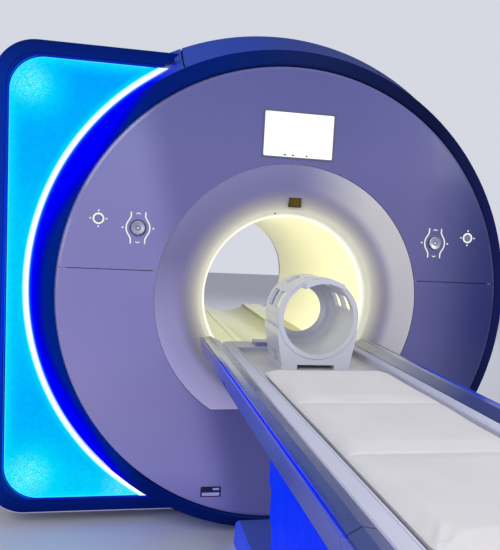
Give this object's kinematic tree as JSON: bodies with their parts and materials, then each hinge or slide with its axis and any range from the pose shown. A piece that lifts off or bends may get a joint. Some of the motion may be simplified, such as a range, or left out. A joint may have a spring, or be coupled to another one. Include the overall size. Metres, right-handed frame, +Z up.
{
  "type": "mri scanner",
  "caption": "Whole-body magnetic resonance scanner with a round bore, a lit side panel and a lifting table whose top slides into the bore.",
  "frame": {"origin": "on the floor, below the middle of the bore, at the centre of the magnet's anchor holes", "axes": "+X to the right seen from the front, +Y along the bore from the table side to the rear, +Z up"},
  "size_m": [2.426, 4.188, 2.246],
  "materials": {
    "cover_white": "gloss",
    "shell_grey": "satin",
    "rim_navy": "gloss",
    "liner_ivory": "satin",
    "light_warm": "lit",
    "panel_dark": "satin",
    "panel_glow": "lit",
    "arc_glow": "lit",
    "housing": "satin",
    "bezel": "satin",
    "screen_lit": "lit",
    "marks_lit": "lit",
    "control_grey": "satin",
    "amber": "gloss",
    "steel": "satin",
    "steel_dark": "satin",
    "winding": "matte",
    "coil_resin": "matte",
    "pedestal_blue": "satin",
    "rail_grey": "gloss",
    "band_lavender": "satin",
    "tabletop_white": "satin",
    "pad_cloth": "matte",
    "belt_rubber": "matte",
    "coil_white": "satin"
  },
  "bodies": {
    "gantry": {"front_cover_upper": "cover_white", "front_cover_lower": "cover_white", "funnel": "cover_white", "bore_light_ring": "light_warm", "rim_ring": "rim_navy", "shell_top": "shell_grey", "shell_left": "shell_grey", "shell_right": "shell_grey", "rear_cover": "cover_white", "bore_liner": "liner_ivory", "panel_frame": "panel_dark", "panel_diffuser": "panel_glow", "light_arc": "arc_glow", "panel_housing": "housing", "screen_bezel": "bezel", "screen": "screen_lit", "jog_seats": "control_grey", "control_marks": "marks_lit", "funnel_lenses": "amber", "front_frame": "steel", "cover_hoops": "steel", "magnet_vessel": "steel", "cold_mass": "winding", "cold_head": "steel", "gradient_coil": "coil_resin", "magnet_feet": "steel_dark", "base_skirt": "steel_dark", "table_guide": "liner_ivory", "plinth": "pedestal_blue", "base_plate": "steel_dark", "anchor_bolts": "steel", "pedestal_base": "pedestal_blue", "column_outer": "steel"},
    "lift_lower": {"pedestal_lower": "pedestal_blue", "column_middle": "steel"},
    "lift_middle": {"pedestal_middle": "pedestal_blue"},
    "table_lift_body": {"pedestal_upper": "pedestal_blue", "column_inner": "steel", "chassis": "housing", "deck_beams": "steel", "rail_cover_left": "rail_grey", "rail_cover_right": "rail_grey", "side_band_left": "band_lavender", "side_band_right": "band_lavender", "end_covers": "band_lavender", "drive_belt": "belt_rubber"},
    "table_slide_body": {"tabletop": "tabletop_white", "mattress": "pad_cloth", "coil_base": "coil_white", "coil_upper": "coil_white", "coil_sockets": "control_grey"},
    "drive_roller": {"drive_pulley": "steel"},
    "idler_roller": {"idler_pulley": "steel"},
    "jog_left": {"jog_dial_left": "steel"},
    "jog_right": {"jog_dial_right": "steel"},
    "jog_left_push": {"jog_push_left": "control_grey"},
    "jog_right_push": {"jog_push_right": "control_grey"},
    "left_button": {"button_left": "control_grey"},
    "right_button": {"button_right": "control_grey"}
  },
  "joints": [
    {"name": "table_lift", "type": "slide", "parent": "gantry", "child": "table_lift_body", "axis": [0, 0, 1], "range_m": [-0.36, 0]},
    {"name": "pedestal_lower_follow", "type": "slide", "parent": "gantry", "child": "lift_lower", "axis": [0, 0, 1], "range_m": [-0.1201, 0.0001]},
    {"name": "pedestal_middle_follow", "type": "slide", "parent": "gantry", "child": "lift_middle", "axis": [0, 0, 1], "range_m": [-0.2401, 0.0001]},
    {"name": "tabletop_slide", "type": "slide", "parent": "table_lift_body", "child": "table_slide_body", "axis": [0, 1, 0], "range_m": [0, 1.85]},
    {"name": "drive_roller_spin", "type": "hinge", "parent": "table_lift_body", "child": "drive_roller", "pos_m": [0, -3.249, 0.8119], "axis": [-1, 0, 0], "range_deg": [-1, 9640]},
    {"name": "idler_roller_spin", "type": "hinge", "parent": "table_lift_body", "child": "idler_roller", "pos_m": [0, -0.925, 0.8119], "axis": [-1, 0, 0], "range_deg": [-1, 9640]},
    {"name": "jog_dial_left_turn", "type": "hinge", "parent": "gantry", "child": "jog_left", "pos_m": [-0.644, -0.865, 1.332], "axis": [0, -1, 0], "continuous": true},
    {"name": "jog_push_left_press", "type": "slide", "parent": "jog_left", "child": "jog_left_push", "axis": [0, 1, 0], "range_m": [0, 0.003], "stiffness_N_per_m": 600},
    {"name": "button_left_press", "type": "slide", "parent": "gantry", "child": "left_button", "axis": [0, 1, 0], "range_m": [0, 0.003], "stiffness_N_per_m": 600},
    {"name": "jog_dial_right_turn", "type": "hinge", "parent": "gantry", "child": "jog_right", "pos_m": [0.644, -0.865, 1.332], "axis": [0, -1, 0], "continuous": true},
    {"name": "jog_push_right_press", "type": "slide", "parent": "jog_right", "child": "jog_right_push", "axis": [0, 1, 0], "range_m": [0, 0.003], "stiffness_N_per_m": 600},
    {"name": "button_right_press", "type": "slide", "parent": "gantry", "child": "right_button", "axis": [0, 1, 0], "range_m": [0, 0.003], "stiffness_N_per_m": 600}
  ],
  "couplings": [
    {"joint": "pedestal_lower_follow", "follows": "table_lift", "ratio": 0.3333},
    {"joint": "pedestal_middle_follow", "follows": "table_lift", "ratio": 0.6667},
    {"joint": "drive_roller_spin", "follows": "tabletop_slide", "rad_per_m": 90.909},
    {"joint": "idler_roller_spin", "follows": "tabletop_slide", "rad_per_m": 90.909}
  ]
}
